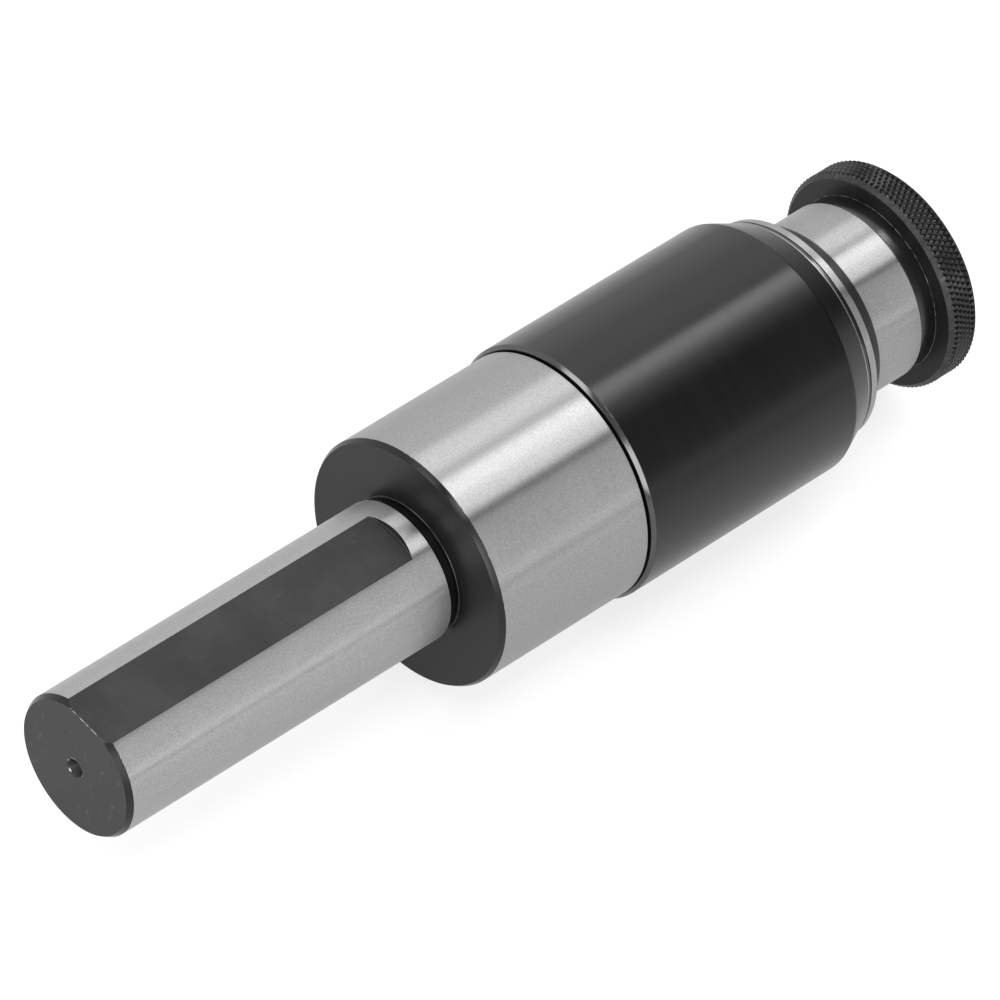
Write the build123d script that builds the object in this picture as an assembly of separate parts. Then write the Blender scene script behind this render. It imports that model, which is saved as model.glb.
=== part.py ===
from build123d import *
import os
from math import atan2, cos, pi, radians, sin, sqrt

# A floating tapping head on a straight shank, with a quick-change nose.
# All sizes are in millimetres. The axis is X, the nose points to +X, and the
# flat on the shank faces +Z. X = 0 is the collar's rear face, which stops the shank.

# Clearances
running_clearance = 0.05
seat_clearance = 0.05
fixed_clearance = 0.02
free_clearance = 0.3

# Shank
shank_diameter = 25.0
shank_length = 70.0
shank_chamfer_length = 1.0
shank_chamfer_step = 0.62
relief_width = 2.0
relief_depth = 0.5
relief_face_width = 0.12
relief_face_depth = 0.2
flat_depth = 1.15
flat_end_gap = 5.1
flat_cutter_diameter = 32.0
centre_hole_mouth = 3.4
centre_hole_pilot = 1.6
centre_hole_depth = 4.0

# Collar and spigot
collar_length = 32.0
collar_step = 0.75
collar_chamfer_length = 0.9
collar_chamfer_step = 0.54
spigot_length = 10.0
cavity_floor = 10.0

# Housing sleeve
seal_thickness = 0.55
seal_width = 1.1
sleeve_length = 51.55
sleeve_wall = 2.7
sleeve_chamfer = 0.6
cone_length = 5.35
cone_end_step = 0.2
lip_length = 0.65
lip_step = 0.05
sleeve_front_wall = 1.3

# Nose cap, its bush and its wiper
cap_wall = 3.95
cap_taper = 0.18
cap_land_width = 1.42
cap_relief_width = 0.2
cap_relief_depth = 0.5
cap_bevel_length = 3.66
cap_mouth_wall = 0.81
cap_spigot_length = 7.6
cap_spigot_gap = 0.5
bush_wall = 1.35
bush_length = 7.9
wiper_setback = 1.3
wiper_width = 1.5
wiper_height = 1.25

# Travel of the spindle, forwards in tension and backwards in compression
tension_travel = 12.0
compression_travel = 8.0

# Spindle
spindle_diameter = 32.0
spindle_bare_length = 10.72
spindle_chamfer = 0.5
web_thickness = 8.0

# Socket for the adapter, in the spindle's nose
socket_diameter = 19.0
socket_depth = 26.0
socket_chamfer = 0.5
socket_relief_depth = 0.3
socket_relief_margin = 0.25
nose_wall = 3.3
drive_slot_width = 5.0
drive_slot_depth = 4.5

# Ball spline that carries the torque
torque_ball_diameter = 5.0
torque_ball_columns = 3
torque_balls_per_column = 3
cage_wall = 0.8
cage_bridge = 1.0
cage_margin = 3.0
race_wall = 2.6
race_pin_diameter = 1.6
race_pin_length = 6.0

# Springs. Their wire is drawn with flats.
wire_sides = 8
steps_per_turn = 12
compression_spring_wire = 2.2
compression_spring_turns = 4.5
compression_spring_length = 18.4
compression_spring_gap = 2.15
spring_seat_thickness = 1.5
spring_seat_width = 4.0
tension_spring_wire = 2.0
tension_spring_turns = 7
tension_spring_gap = 0.9
ring_spring_wire = 0.8
ring_spring_turns = 2.5

# Rod, washer and stop tube of the tension spring
stop_tube_wall = 1.4
stop_tube_gap = 0.48
rod_shoulder = 0.5
rod_thread_length = 18.0
rod_head_step = 3.0
rod_head_height = 5.5
rod_hex_width = 6.0
rod_hex_depth = 3.5
rod_washer_thickness = 2.5

# Plug that closes the socket, and its snap ring
plug_gap = 1.15
plug_seat = 0.2
plug_thickness = 3.0
plug_ring_width = 1.0
plug_ring_depth = 0.6
plug_ring_height = 1.1

# Locking balls
locking_ball_count = 3
locking_ball_setback = 2.6
locking_ball_protrusion = 0.67
locking_ball_lift_margin = 0.18

# Quick-change ring, its washer and the snap ring of the nose
ring_diameter = 39.3
ring_hub_step = 0.25
ring_hub_length = 3.3
ring_chamfer = 0.95
ring_front_recess = 0.35
ring_release_travel = 2.5
ring_land_length = 2.17
ring_floor_wall = 1.0
ring_grip_wall = 2.45
ring_sleeve_wall = 0.7
ring_washer_thickness = 0.5
nose_ring_width = 0.9
nose_ring_height = 1.6
nose_ring_depth = 0.8
nose_ring_setback = 0.8
snap_ring_gap = 40.0

# Radii that follow from the sizes
shank_radius = shank_diameter / 2
spindle_radius = spindle_diameter / 2
guide_radius = spindle_radius + running_clearance
ball_circle_radius = spindle_radius + free_clearance + cage_wall / 2
race_bore_radius = spindle_radius + 2 * free_clearance + cage_wall
spigot_radius = race_bore_radius + race_wall
sleeve_bore_radius = spigot_radius + fixed_clearance
sleeve_radius = spigot_radius + sleeve_wall
collar_radius = sleeve_radius - collar_step
cap_bore_radius = spindle_radius + 2 * running_clearance
cap_radius = cap_bore_radius + cap_wall
cap_bush_radius = spindle_radius + bush_wall + fixed_clearance
lip_radius = cap_radius + lip_step
sleeve_front_radius = lip_radius - sleeve_front_wall
socket_radius = socket_diameter / 2
spring_bore_radius = socket_radius - plug_seat
tension_spring_mean = spring_bore_radius - tension_spring_gap - tension_spring_wire / 2
stop_tube_radius = tension_spring_mean - tension_spring_wire / 2 - stop_tube_gap
rod_radius = stop_tube_radius - stop_tube_wall - fixed_clearance
rod_thread_radius = rod_radius - rod_shoulder
compression_spring_reach = guide_radius - compression_spring_gap
compression_spring_mean = compression_spring_reach - compression_spring_wire / 2
nose_radius = socket_radius + nose_wall
ring_bore_radius = nose_radius + running_clearance
ring_radius = ring_diameter / 2
ring_chamber_radius = ring_radius - ring_grip_wall
ring_sleeve_radius = ring_bore_radius + ring_sleeve_wall
ball_top_radius = ring_bore_radius - fixed_clearance
locking_ball_radius = (ball_top_radius - socket_radius + locking_ball_protrusion) / 2
locked_radius = ball_top_radius - locking_ball_radius
locking_ball_lift = locking_ball_protrusion + locking_ball_lift_margin

# Places along the axis that follow from the sizes, from the shank to the nose
shank_rear = -shank_length
spigot_front = collar_length + spigot_length
sleeve_rear = collar_length + seal_thickness
sleeve_front = sleeve_rear + sleeve_length
cap_rear = sleeve_front - cap_spigot_length
cap_land_rear = sleeve_front + cap_relief_width
cap_land_front = cap_land_rear + cap_land_width
cap_front = cap_land_front + cap_bevel_length
race_front = cap_rear - cap_spigot_gap
torque_ball_middle = (spigot_front + race_front - (tension_travel - compression_travel) / 2) / 2
torque_ball_pitch = torque_ball_diameter + cage_bridge
torque_ball_half_row = torque_ball_pitch * (torque_balls_per_column - 1) / 2
spring_seat_front = cavity_floor + spring_seat_thickness
spindle_rear = spring_seat_front + compression_spring_length + 2 * seat_clearance
spindle_shoulder = cap_front + spindle_bare_length
web_front = spindle_rear + web_thickness
ring_rear = spindle_shoulder + seat_clearance
ring_flange_rear = ring_rear + ring_hub_length
ring_chamber_floor = ring_flange_rear + ring_floor_wall
locking_ball_place = spindle_shoulder + locking_ball_setback
stop_tube_rear = web_front + tension_travel + seat_clearance

# The ring's inner cone lifts or frees the balls in proportion to the ring's travel
cone_slope = locking_ball_lift / ring_release_travel
cone_tilt = atan2(locking_ball_lift, ring_release_travel)
ball_reach = locking_ball_radius + fixed_clearance
cone_step = ball_reach / cos(cone_tilt) - ring_bore_radius + locked_radius
ring_cone_front = locking_ball_place + cone_step / cone_slope
ball_contact = locking_ball_place + ball_reach * sin(cone_tilt)
ring_cone_rear = ball_contact - ring_release_travel - free_clearance
ring_cone_radius = ring_bore_radius + (ring_cone_front - ring_cone_rear) * cone_slope
ring_land_front = ring_cone_front + ring_land_length

# Places at the nose
ring_washer_rear = ring_land_front + ring_release_travel + 2 * seat_clearance
nose_ring_rear = ring_washer_rear + ring_washer_thickness
nose_ring_front = nose_ring_rear + nose_ring_width
nose_front = nose_ring_front + nose_ring_setback
ring_front = nose_front - ring_front_recess
socket_floor = nose_front - socket_depth
plug_front = socket_floor + plug_thickness
rod_head_front = socket_floor - compression_travel - plug_gap
rod_head_rear = rod_head_front - rod_head_height
rod_washer_rear = rod_head_rear - rod_washer_thickness


def turned(*outline):
    """A solid of revolution about the tool's axis, from (x, radius) corners."""
    corners = [(x, 0, radius) for x, radius in outline]
    return revolve(make_face(Polyline(*corners, close=True)), Axis.X, 360)


def bar(rear, front, radius):
    """A plain cylinder along the axis."""
    return turned((rear, 0), (rear, radius), (front, radius), (front, 0))


def tube(rear, front, inner, outer):
    """A plain ring or tube along the axis."""
    return turned((rear, inner), (rear, outer), (front, outer), (front, inner))


def lengthwise(solid, place=(0, 0, 0)):
    """Turn a solid that was made along Z so that it lies along the tool's axis."""
    return Pos(*place) * Rot(0, 90, 0) * solid


def around(solid, angle):
    """Turn a solid about the tool's axis."""
    return Rot(angle, 0, 0) * solid


def radial_hole(place, radius, inner, outer):
    """A round cutter that stands on the axis, from one radius out to another."""
    cutter = Cylinder(radius, outer - inner, align=(Align.CENTER, Align.CENTER, Align.MIN))
    return Pos(place, 0, inner) * cutter


def coil(rear, front, mean_radius, wire, turns, end_radius=None):
    """A spring of wire with ends ground flat, cylindrical or conical. The wire is faceted."""
    length = front - rear
    end_radius = mean_radius if end_radius is None else end_radius
    steps = round(turns * steps_per_turn)
    points = []
    for step in range(steps + 1):
        share = step / steps
        radius = mean_radius + (end_radius - mean_radius) * share
        angle = 2 * pi * turns * share
        points.append((radius * cos(angle), radius * sin(angle), length * share))
    path = Polyline(*points)
    section = Plane(origin=path @ 0, z_dir=path % 0) * RegularPolygon(wire / 2, wire_sides)
    wound = sweep(section, path=path, transition=Transition.RIGHT)
    reach = max(mean_radius, end_radius) + wire
    ground = Cylinder(reach, length, align=(Align.CENTER, Align.CENTER, Align.MIN))
    return lengthwise(wound & ground, (rear, 0, 0))


def open_ring(rear, front, inner, outer):
    """A snap ring: a flat ring with a gap in it."""
    reach = outer + 1
    width = 2 * outer * sin(radians(snap_ring_gap / 2))
    gap = Pos((rear + front) / 2, 0, -reach / 2) * Box(front - rear + 1, width, reach)
    return tube(rear, front, inner, outer) - gap


def shank_body():
    """Shank, stop collar and spigot in one piece, with the flat and the spring cavity."""
    body = turned(
        (shank_rear, 0),
        (shank_rear, shank_radius - shank_chamfer_step),
        (shank_rear + shank_chamfer_length, shank_radius),
        (-relief_width, shank_radius),
        (-relief_width, shank_radius - relief_depth),
        (relief_face_depth, shank_radius - relief_depth),
        (relief_face_depth, shank_radius + relief_face_width),
        (0, shank_radius + relief_face_width),
        (0, collar_radius - collar_chamfer_step),
        (collar_chamfer_length, collar_radius),
        (collar_length, collar_radius),
        (collar_length, spigot_radius),
        (spigot_front, spigot_radius),
        (spigot_front, 0),
    )
    body -= bar(cavity_floor, spigot_front, guide_radius)
    drilled = cavity_floor - rod_thread_length - 1
    body -= bar(drilled, cavity_floor, rod_thread_radius + fixed_clearance)
    body -= centre_hole()
    body -= flat_cutter()
    return body - race_pins(fixed_clearance)


def centre_hole():
    """Centre hole in the rear face, left from turning between centres."""
    mouth = centre_hole_mouth / 2
    pilot = centre_hole_pilot / 2
    return turned(
        (shank_rear, 0),
        (shank_rear, mouth),
        (shank_rear + (mouth - pilot) * sqrt(3), pilot),
        (shank_rear + centre_hole_depth, pilot),
        (shank_rear + centre_hole_depth, 0),
    )


def flat_cutter():
    """The end mill's path along the shank: it leaves the clamping flat with a round end."""
    height = shank_radius - flat_depth
    radius = flat_cutter_diameter / 2
    last = -flat_end_gap - radius
    bottom = (Align.MAX, Align.CENTER, Align.MIN)
    run = Box(last - shank_rear + radius, flat_cutter_diameter, flat_depth + 1, align=bottom)
    end = Cylinder(radius, flat_depth + 1, align=(Align.CENTER, Align.CENTER, Align.MIN))
    return Pos(last, 0, height) * (run + end)


def housing_sleeve():
    """Outer sleeve, screwed over the spigot, with a conical front."""
    lip_rear = sleeve_front - lip_length
    return turned(
        (sleeve_rear, sleeve_bore_radius),
        (sleeve_rear, sleeve_radius - sleeve_chamfer),
        (sleeve_rear + sleeve_chamfer, sleeve_radius),
        (lip_rear - cone_length, sleeve_radius),
        (lip_rear, lip_radius + cone_end_step),
        (lip_rear, lip_radius),
        (sleeve_front, lip_radius),
        (sleeve_front, sleeve_front_radius),
        (race_front, sleeve_front_radius),
        (race_front, sleeve_bore_radius),
    )


def sleeve_seal():
    """Thin seal between the collar and the sleeve, which shows as a black line."""
    inner = sleeve_bore_radius
    return tube(collar_length, sleeve_rear, inner, inner + seal_width)


def nose_cap():
    """Cap that closes the sleeve and carries the front bush and the wiper."""
    spigot = sleeve_front_radius - fixed_clearance
    foot = cap_radius - cap_relief_depth
    wiper_front = cap_front - wiper_setback
    wiper_bed = cap_bore_radius + wiper_height
    cap = turned(
        (cap_rear, cap_bush_radius),
        (cap_rear, spigot),
        (sleeve_front, spigot),
        (sleeve_front, foot),
        (cap_land_rear, foot),
        (cap_land_rear, cap_radius),
        (cap_land_front, cap_radius - cap_taper),
        (cap_front, cap_bore_radius + cap_mouth_wall),
        (cap_front, cap_bore_radius),
        (cap_rear + bush_length, cap_bore_radius),
        (cap_rear + bush_length, cap_bush_radius),
    )
    return cap - tube(wiper_front - wiper_width, wiper_front, cap_bore_radius - 1, wiper_bed)


def front_bush():
    """Bearing bush that guides the spindle in the cap."""
    return tube(cap_rear, cap_rear + bush_length, guide_radius, spindle_radius + bush_wall)


def wiper_seal():
    """Wiper that keeps swarf and coolant out of the housing."""
    front = cap_front - wiper_setback
    outer = cap_bore_radius + wiper_height
    flank = (3 * guide_radius + outer) / 4
    return turned(
        (front - wiper_width, flank),
        (front - wiper_width, outer),
        (front, outer),
        (front, flank),
        (front - wiper_width / 3, guide_radius),
        (front - wiper_width / 2, guide_radius),
    )


def ball_places():
    """Where each ball of the spline sits, as its place along the axis and its column's angle."""
    first = torque_ball_middle - torque_ball_half_row
    for column in range(torque_ball_columns):
        for row in range(torque_balls_per_column):
            yield first + row * torque_ball_pitch, column * 360 / torque_ball_columns


def groove_cutter(rear, front):
    """A round-bottomed groove on the ball circle, with its ends as the ball mill leaves them."""
    radius = torque_ball_diameter / 2 + running_clearance
    groove = bar(rear, front, radius) + Pos(rear, 0, 0) * Sphere(radius)
    return Pos(0, 0, ball_circle_radius) * (groove + Pos(front, 0, 0) * Sphere(radius))


def ball_race():
    """Hardened race in the housing, grooved inside for the balls of the spline."""
    race = tube(spigot_front, race_front, race_bore_radius, spigot_radius)
    for column in range(torque_ball_columns):
        groove = groove_cutter(spigot_front - 1, race_front + 1)
        race -= around(groove, column * 360 / torque_ball_columns)
    return race - race_pins(fixed_clearance)


def race_pins(clearance=0):
    """Dowels that key the race to the spigot, between the ball grooves."""
    radius = race_pin_diameter / 2
    place = (race_bore_radius + spigot_radius) / 2
    pins = []
    for column in range(torque_ball_columns):
        pin = Cylinder(radius + clearance, race_pin_length + 2 * clearance)
        pin = lengthwise(pin, (spigot_front, 0, place))
        pins.append(around(pin, (column + 0.5) * 360 / torque_ball_columns))
    return Compound(children=pins)


def ball_cage():
    """Cage that keeps the balls of the spline apart and lets them roll."""
    reach = torque_ball_half_row + torque_ball_diameter / 2 + cage_margin
    inner = ball_circle_radius - cage_wall / 2
    outer = ball_circle_radius + cage_wall / 2
    cage = tube(torque_ball_middle - reach, torque_ball_middle + reach, inner, outer)
    window = torque_ball_diameter / 2 + 3 * running_clearance
    for place, angle in ball_places():
        cage -= around(radial_hole(place, window, inner - 1, outer + 1), angle)
    return cage


def torque_balls():
    """Balls of the spline."""
    ball = Sphere(torque_ball_diameter / 2)
    balls = [around(Pos(x, 0, ball_circle_radius) * ball, angle) for x, angle in ball_places()]
    return Compound(children=balls)


def spindle():
    """Floating spindle: web and spring bore behind, adapter socket and nose in front."""
    rod_hole = rod_radius + free_clearance
    body = turned(
        (spindle_rear, rod_hole),
        (spindle_rear, spindle_radius - spindle_chamfer),
        (spindle_rear + spindle_chamfer, spindle_radius),
        (spindle_shoulder, spindle_radius),
        (spindle_shoulder, nose_radius),
        (nose_front, nose_radius),
        (nose_front, socket_radius + socket_chamfer),
        (nose_front - socket_chamfer, socket_radius),
        (socket_floor, socket_radius),
        (socket_floor, spring_bore_radius),
        (web_front, spring_bore_radius),
        (web_front, rod_hole),
    )
    groove_rear = torque_ball_middle - torque_ball_half_row - tension_travel / 2 - fixed_clearance
    groove_front = torque_ball_middle + torque_ball_half_row + compression_travel / 2 + fixed_clearance
    for column in range(torque_ball_columns):
        groove = groove_cutter(groove_rear, groove_front)
        body -= around(groove, column * 360 / torque_ball_columns)
    relief = locking_ball_radius + running_clearance + socket_relief_margin
    relief_radius = socket_radius + socket_relief_depth
    body -= bar(locking_ball_place - relief, locking_ball_place + relief, relief_radius)
    for index in range(locking_ball_count):
        body -= around(locking_ball_hole(), locking_ball_angle(index))
    groove = socket_radius + plug_ring_depth
    body -= bar(plug_front, plug_front + plug_ring_width + seat_clearance, groove)
    nose_groove = nose_radius - nose_ring_depth
    body -= tube(nose_ring_rear, nose_ring_front, nose_groove, nose_radius + 1)
    return body - drive_slot()


def drive_slot():
    """Slot across the nose that drives the adapter's two lugs."""
    back = (Align.MAX, Align.CENTER, Align.CENTER)
    slot = Box(drive_slot_depth, 2 * nose_radius + 2, drive_slot_width, align=back)
    return Pos(nose_front, 0, 0) * slot


def locking_ball_angle(index):
    """Angle of a locking ball. The first is at +Z, a quarter turn from the drive slot."""
    return index * 360 / locking_ball_count


def locking_ball_hole():
    """Hole for a locking ball, from outside, with a seat that keeps the ball from falling in."""
    radius = locking_ball_radius + running_clearance
    seat = Pos(locking_ball_place, 0, locked_radius) * Sphere(radius)
    return seat + radial_hole(locking_ball_place, radius, locked_radius, nose_radius + 1)


def locking_ball(index):
    """One of the balls that drop into the adapter's groove."""
    ball = Pos(locking_ball_place, 0, locked_radius) * Sphere(locking_ball_radius)
    return around(ball, locking_ball_angle(index))


def tension_rod():
    """Shoulder bolt that holds the tension spring, screwed into the floor of the cavity."""
    shaft = bar(cavity_floor, rod_head_rear, rod_radius)
    thread = bar(cavity_floor - rod_thread_length, cavity_floor, rod_thread_radius)
    head = bar(rod_head_rear, rod_head_front, rod_radius + rod_head_step)
    hexagon = RegularPolygon(rod_hex_width / 2, 6, major_radius=False)
    socket = lengthwise(extrude(hexagon, rod_hex_depth), (rod_head_front - rod_hex_depth, 0, 0))
    return thread + shaft + head - socket


def stop_tube():
    """Tube that ends the tension travel before the spring is closed."""
    return tube(stop_tube_rear, rod_washer_rear, rod_radius + fixed_clearance, stop_tube_radius)


def rod_washer():
    """Washer between the tension spring and the rod's head."""
    outer = spring_bore_radius - free_clearance
    return tube(rod_washer_rear, rod_head_rear, rod_radius + fixed_clearance, outer)


def tension_spring():
    """Spring that pulls the spindle back when the tap runs ahead of the feed."""
    rear = web_front + seat_clearance
    front = rod_washer_rear - seat_clearance
    return coil(rear, front, tension_spring_mean, tension_spring_wire, tension_spring_turns)


def spring_seat():
    """Hardened seat of the compression spring on the floor of the cavity."""
    inner = compression_spring_mean - spring_seat_width / 2
    return tube(cavity_floor, spring_seat_front, inner, inner + spring_seat_width)


def compression_spring():
    """Spring that pushes the spindle forward when the tap lags behind the feed."""
    rear = spring_seat_front + seat_clearance
    front = rear + compression_spring_length
    mean = compression_spring_mean
    return coil(rear, front, mean, compression_spring_wire, compression_spring_turns)


def socket_plug():
    """Plug that shuts the springs off from the socket."""
    return bar(socket_floor, plug_front, socket_radius - fixed_clearance)


def plug_snap_ring():
    """Snap ring that holds the plug in the socket."""
    outer = socket_radius + plug_ring_depth - fixed_clearance
    return open_ring(plug_front, plug_front + plug_ring_width, outer - plug_ring_height, outer)


def quick_change_ring():
    """Grip ring: its inner cone holds the balls in, and frees them when it is pulled forward."""
    return turned(
        (ring_rear, ring_cone_radius),
        (ring_rear, spindle_radius - ring_hub_step),
        (ring_flange_rear, spindle_radius - ring_hub_step),
        (ring_flange_rear, ring_radius - ring_chamfer),
        (ring_flange_rear + ring_chamfer, ring_radius),
        (ring_front - ring_chamfer, ring_radius),
        (ring_front, ring_radius - ring_chamfer),
        (ring_front, ring_chamber_radius),
        (ring_chamber_floor, ring_chamber_radius),
        (ring_chamber_floor, ring_sleeve_radius),
        (ring_land_front, ring_sleeve_radius),
        (ring_land_front, ring_bore_radius),
        (ring_cone_front, ring_bore_radius),
        (ring_cone_rear, ring_cone_radius),
    )


def ring_spring():
    """Conical spring that pushes the ring back. Its turns nest when it is pressed flat."""
    rear = ring_chamber_floor + seat_clearance
    front = ring_washer_rear - seat_clearance
    wire_space = ring_spring_wire / 2 + free_clearance
    wide = ring_chamber_radius - wire_space
    narrow = ring_sleeve_radius + wire_space
    return coil(rear, front, wide, ring_spring_wire, ring_spring_turns, narrow)


def ring_washer():
    """Washer that the ring's spring rests against."""
    inner = nose_radius + fixed_clearance
    return tube(ring_washer_rear, nose_ring_rear, inner, ring_chamber_radius - free_clearance)


def nose_snap_ring():
    """Snap ring that holds the washer, the spring and the ring on the nose."""
    inner = nose_radius - nose_ring_depth + fixed_clearance
    front = nose_ring_front - seat_clearance
    return open_ring(nose_ring_rear, front, inner, inner + nose_ring_height)


pieces = {
    "shank_body": shank_body(),
    "housing_sleeve": housing_sleeve(),
    "sleeve_seal": sleeve_seal(),
    "ball_race": ball_race(),
    "race_pins": race_pins(),
    "ball_cage": ball_cage(),
    "torque_balls": torque_balls(),
    "nose_cap": nose_cap(),
    "front_bush": front_bush(),
    "wiper_seal": wiper_seal(),
    "spindle": spindle(),
    "tension_rod": tension_rod(),
    "stop_tube": stop_tube(),
    "rod_washer": rod_washer(),
    "tension_spring": tension_spring(),
    "spring_seat": spring_seat(),
    "compression_spring": compression_spring(),
    "socket_plug": socket_plug(),
    "plug_snap_ring": plug_snap_ring(),
    "quick_change_ring": quick_change_ring(),
    "ring_spring": ring_spring(),
    "ring_washer": ring_washer(),
    "nose_snap_ring": nose_snap_ring(),
}
for number in range(locking_ball_count):
    pieces[f"locking_ball_{number + 1}"] = locking_ball(number)

os.makedirs("parts", exist_ok=True)
for name, piece in pieces.items():
    export_step(piece, f"parts/{name}.step")
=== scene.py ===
import logging
from dataclasses import dataclass, replace
from enum import IntEnum
from math import atan2, cos, hypot, pi, radians, sin, sqrt, tau
from typing import Iterable, Sequence

import bmesh
import bpy
from bmesh.types import BMFace, BMVert, BMesh
from bpy.types import Material, Mesh, Node, NodeInputs, NodeOutputs, NodeSocket, NodeTree, Object
from mathutils import Matrix


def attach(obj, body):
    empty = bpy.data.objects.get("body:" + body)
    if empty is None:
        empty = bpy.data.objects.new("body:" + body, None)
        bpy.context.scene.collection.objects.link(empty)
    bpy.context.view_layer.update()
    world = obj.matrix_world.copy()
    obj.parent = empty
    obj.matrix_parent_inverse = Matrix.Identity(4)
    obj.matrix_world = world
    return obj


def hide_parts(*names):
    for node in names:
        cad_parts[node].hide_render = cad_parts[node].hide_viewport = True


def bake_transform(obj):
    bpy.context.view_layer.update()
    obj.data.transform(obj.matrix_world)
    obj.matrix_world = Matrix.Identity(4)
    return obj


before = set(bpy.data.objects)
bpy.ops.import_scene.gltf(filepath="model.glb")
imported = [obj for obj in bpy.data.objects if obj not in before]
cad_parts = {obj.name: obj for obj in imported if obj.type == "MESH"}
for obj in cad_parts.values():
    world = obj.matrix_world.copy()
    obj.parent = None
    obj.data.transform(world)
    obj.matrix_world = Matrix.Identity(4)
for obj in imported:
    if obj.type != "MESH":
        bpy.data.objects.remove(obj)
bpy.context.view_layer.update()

# A millimetre and a micrometre, in metres.
MM = 0.001
MICRON = 1e-6

# Steps of a full turn.
STEPS = 192

# Millimetres within which points are merged, lie on a wall, on a circle, and on the ring's crest.
MERGED = 1e-4
ON_WALL = 2e-4
ON_CIRCLE = 2e-3
ON_CREST = 1e-3
# Below this a length is nothing, in millimetres and in metres.
NOTHING = 1e-6

# Edges that turn by more degrees than this stay sharp, on most pieces and on springs.
SHARP = 12.0
SPRING_SHARP = 40.0
# Beside a face that many times smaller, a turn of that many degrees is enough.
MUCH_SMALLER = 20.0
SLIGHT_TURN = 2.5

Colour = tuple[float, float, float]
Bands = tuple[tuple[float, float], ...]

log = logging.getLogger("tapping_head")


class Skin(IntEnum):
    """What one stretch of a turned piece is finished as. The number is its material slot."""

    MAIN = 0
    DARK = 1
    FACE = 2
    WORN = 3
    RUBBED = 4
    END = 5
    FLAT = 6
    BRIGHT = 7
    SHANK = 8
    DEEP = 9


@dataclass(frozen=True)
class Corner:
    """A corner of a turned outline, in millimetres.

    Attributes:
        x: Place along the axis.
        radius: Distance from the axis.
        skin: Finish of the stretch from this corner to the next.
        edge: Width of the broken edge at this corner, or 0 for a sharp one.
        edge_skin: Finish of the broken edge, or None for that of its neighbours.
    """

    x: float
    radius: float
    skin: Skin = Skin.MAIN
    edge: float = 0.0
    edge_skin: Skin | None = None


def turn(corners: Sequence[Corner], steps: int = STEPS) -> BMesh:
    """Spin an outline about the X axis, one stretch at a time.

    Args:
        corners: The closed outline, in order.
        steps: How many steps make the full turn.

    Returns:
        A closed bmesh in millimetres, with each stretch in its own material slot.
    """
    bm = bmesh.new()
    ring = [bm.verts.new((corner.x, 0, corner.radius)) for corner in corners]
    following = ring[1:] + ring[:1]
    lines = [bm.edges.new(pair) for pair in zip(ring, following) if any(v.co.z > 0 for v in pair)]
    bmesh.ops.spin(bm, geom=ring + lines, cent=(0, 0, 0), axis=(1, 0, 0), angle=tau,
                   steps=steps, use_merge=True)
    skins = {frozenset((station(a.x, a.radius), station(b.x, b.radius))): a.skin
             for a, b in zip(corners, list(corners[1:]) + [corners[0]])}
    for face in bm.faces:
        ends = frozenset(station(v.co.x, off_axis(v)) for v in face.verts)
        face.material_index = skins.get(ends, Skin.MAIN)
    bmesh.ops.remove_doubles(bm, verts=bm.verts, dist=MERGED)
    bmesh.ops.recalc_face_normals(bm, faces=bm.faces)
    for corner in corners:
        if corner.edge > 0:
            break_edge(bm, corner)
    return bm


def station(x: float, radius: float) -> tuple[int, int]:
    """A corner's place along and off the axis, in hundredths of a millimetre."""
    return round(x * 100), round(radius * 100)


def off_axis(vert: BMVert) -> float:
    """Distance of a vertex from the axis."""
    return hypot(vert.co.y, vert.co.z)


def paint(faces: Iterable[BMFace], skin: Skin) -> None:
    """Give faces a skin."""
    for face in faces:
        face.material_index = skin


def break_edge(bm: BMesh, corner: Corner) -> None:
    """Round the circle that a corner of the outline has drawn.

    Args:
        bm: The turned bmesh.
        corner: The corner, with the width of its broken edge.
    """
    circle = [edge for edge in bm.edges if all(
        abs(v.co.x - corner.x) < ON_WALL and abs(off_axis(v) - corner.radius) < ON_CIRCLE
        for v in edge.verts)]
    made = bmesh.ops.bevel(bm, geom=circle, offset=corner.edge, offset_type="OFFSET", segments=3,
                           profile=0.5, affect="EDGES", clamp_overlap=True, material=-1)
    if corner.edge_skin is not None:
        paint(made["faces"], corner.edge_skin)


def as_piece(bm: BMesh, name: str, sharp: float = SHARP) -> Object:
    """Make an object of a bmesh that was drawn in millimetres.

    Args:
        bm: The bmesh, which is freed.
        name: Name of the piece.
        sharp: Edges that turn by more than this many degrees stay sharp.

    Returns:
        The object, at the origin, with its place in its mesh.
    """
    bmesh.ops.recalc_face_normals(bm, faces=bm.faces)
    bmesh.ops.scale(bm, vec=(MM, MM, MM), verts=bm.verts)
    mesh = bpy.data.meshes.new(name)
    bm.to_mesh(mesh)
    bm.free()
    piece = bpy.data.objects.new(name, mesh)
    bpy.context.scene.collection.objects.link(piece)
    smooth(mesh, sharp)
    return piece


def smooth(mesh: Mesh, sharp: float = SHARP) -> None:
    """Shade a mesh smooth between its sharp corners, with large faces kept flat beside small ones.

    Args:
        mesh: The mesh.
        sharp: Edges that turn by more than this many degrees stay sharp.
    """
    mesh.shade_smooth()
    mesh.set_sharp_from_angle(angle=radians(sharp))
    slight = radians(SLIGHT_TURN)
    bm = bmesh.new()
    bm.from_mesh(mesh)
    for edge in bm.edges:
        if edge.smooth and len(edge.link_faces) == 2 and edge.calc_face_angle() > slight:
            small, large = sorted(face.calc_area() for face in edge.link_faces)
            if large > MUCH_SMALLER * small:
                edge.smooth = False
    bm.to_mesh(mesh)
    bm.free()


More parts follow.
